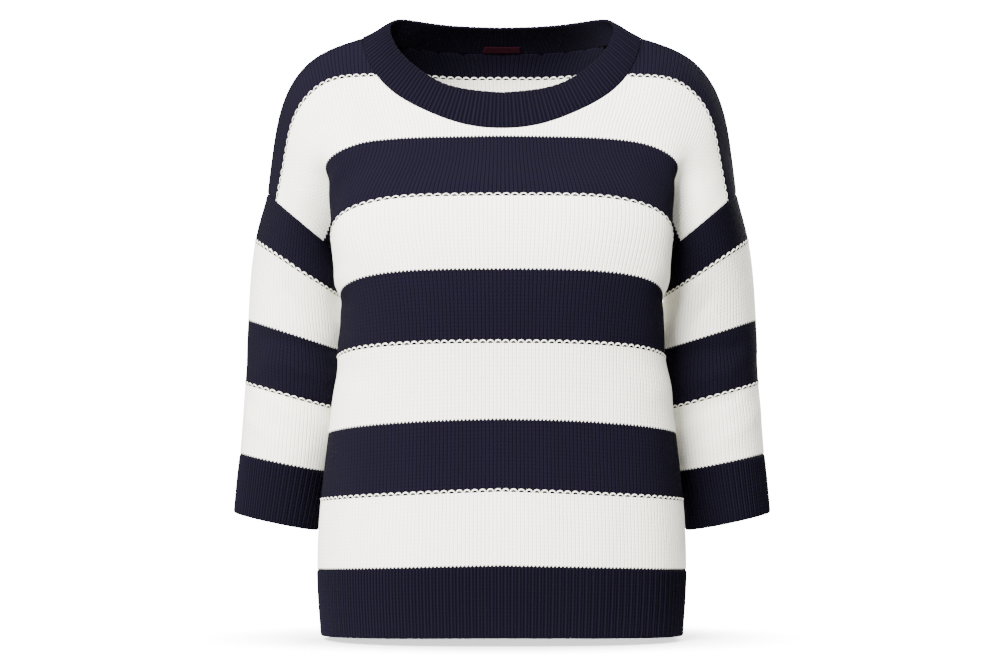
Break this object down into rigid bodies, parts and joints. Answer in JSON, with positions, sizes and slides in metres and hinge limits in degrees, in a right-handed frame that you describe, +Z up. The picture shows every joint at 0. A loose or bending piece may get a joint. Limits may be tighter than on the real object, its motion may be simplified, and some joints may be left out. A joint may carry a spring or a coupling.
{
  "type": "striped jumper",
  "caption": "Knitted jumper with wide block stripes, a wide ribbed scoop neck, dropped shoulders and three-quarter sleeves, filled out and hollow.",
  "frame": {"origin": "midway between the shoulders, level with the inner ends of the shoulder seams, where a wearer's shoulders hold it up", "axes": "+Z up, front of the jumper towards -Y, the wearer's left towards +X"},
  "size_m": [0.5466, 0.2413, 0.6201],
  "materials": {
    "striped_knit": "matt cotton knit in navy and ivory block stripes",
    "navy_rib": "matt cotton rib knit, dark navy",
    "label_tape": "woven tape, dark red, bare"
  },
  "bodies": {
    "root": {"front_panel": "striped_knit", "back_panel": "striped_knit", "sleeve_left": "striped_knit", "sleeve_right": "striped_knit", "neckband": "navy_rib", "hem_rib_front": "navy_rib", "hem_rib_back": "navy_rib", "cuff_left": "navy_rib", "cuff_right": "navy_rib", "neck_label": "label_tape"}
  },
  "joints": []
}
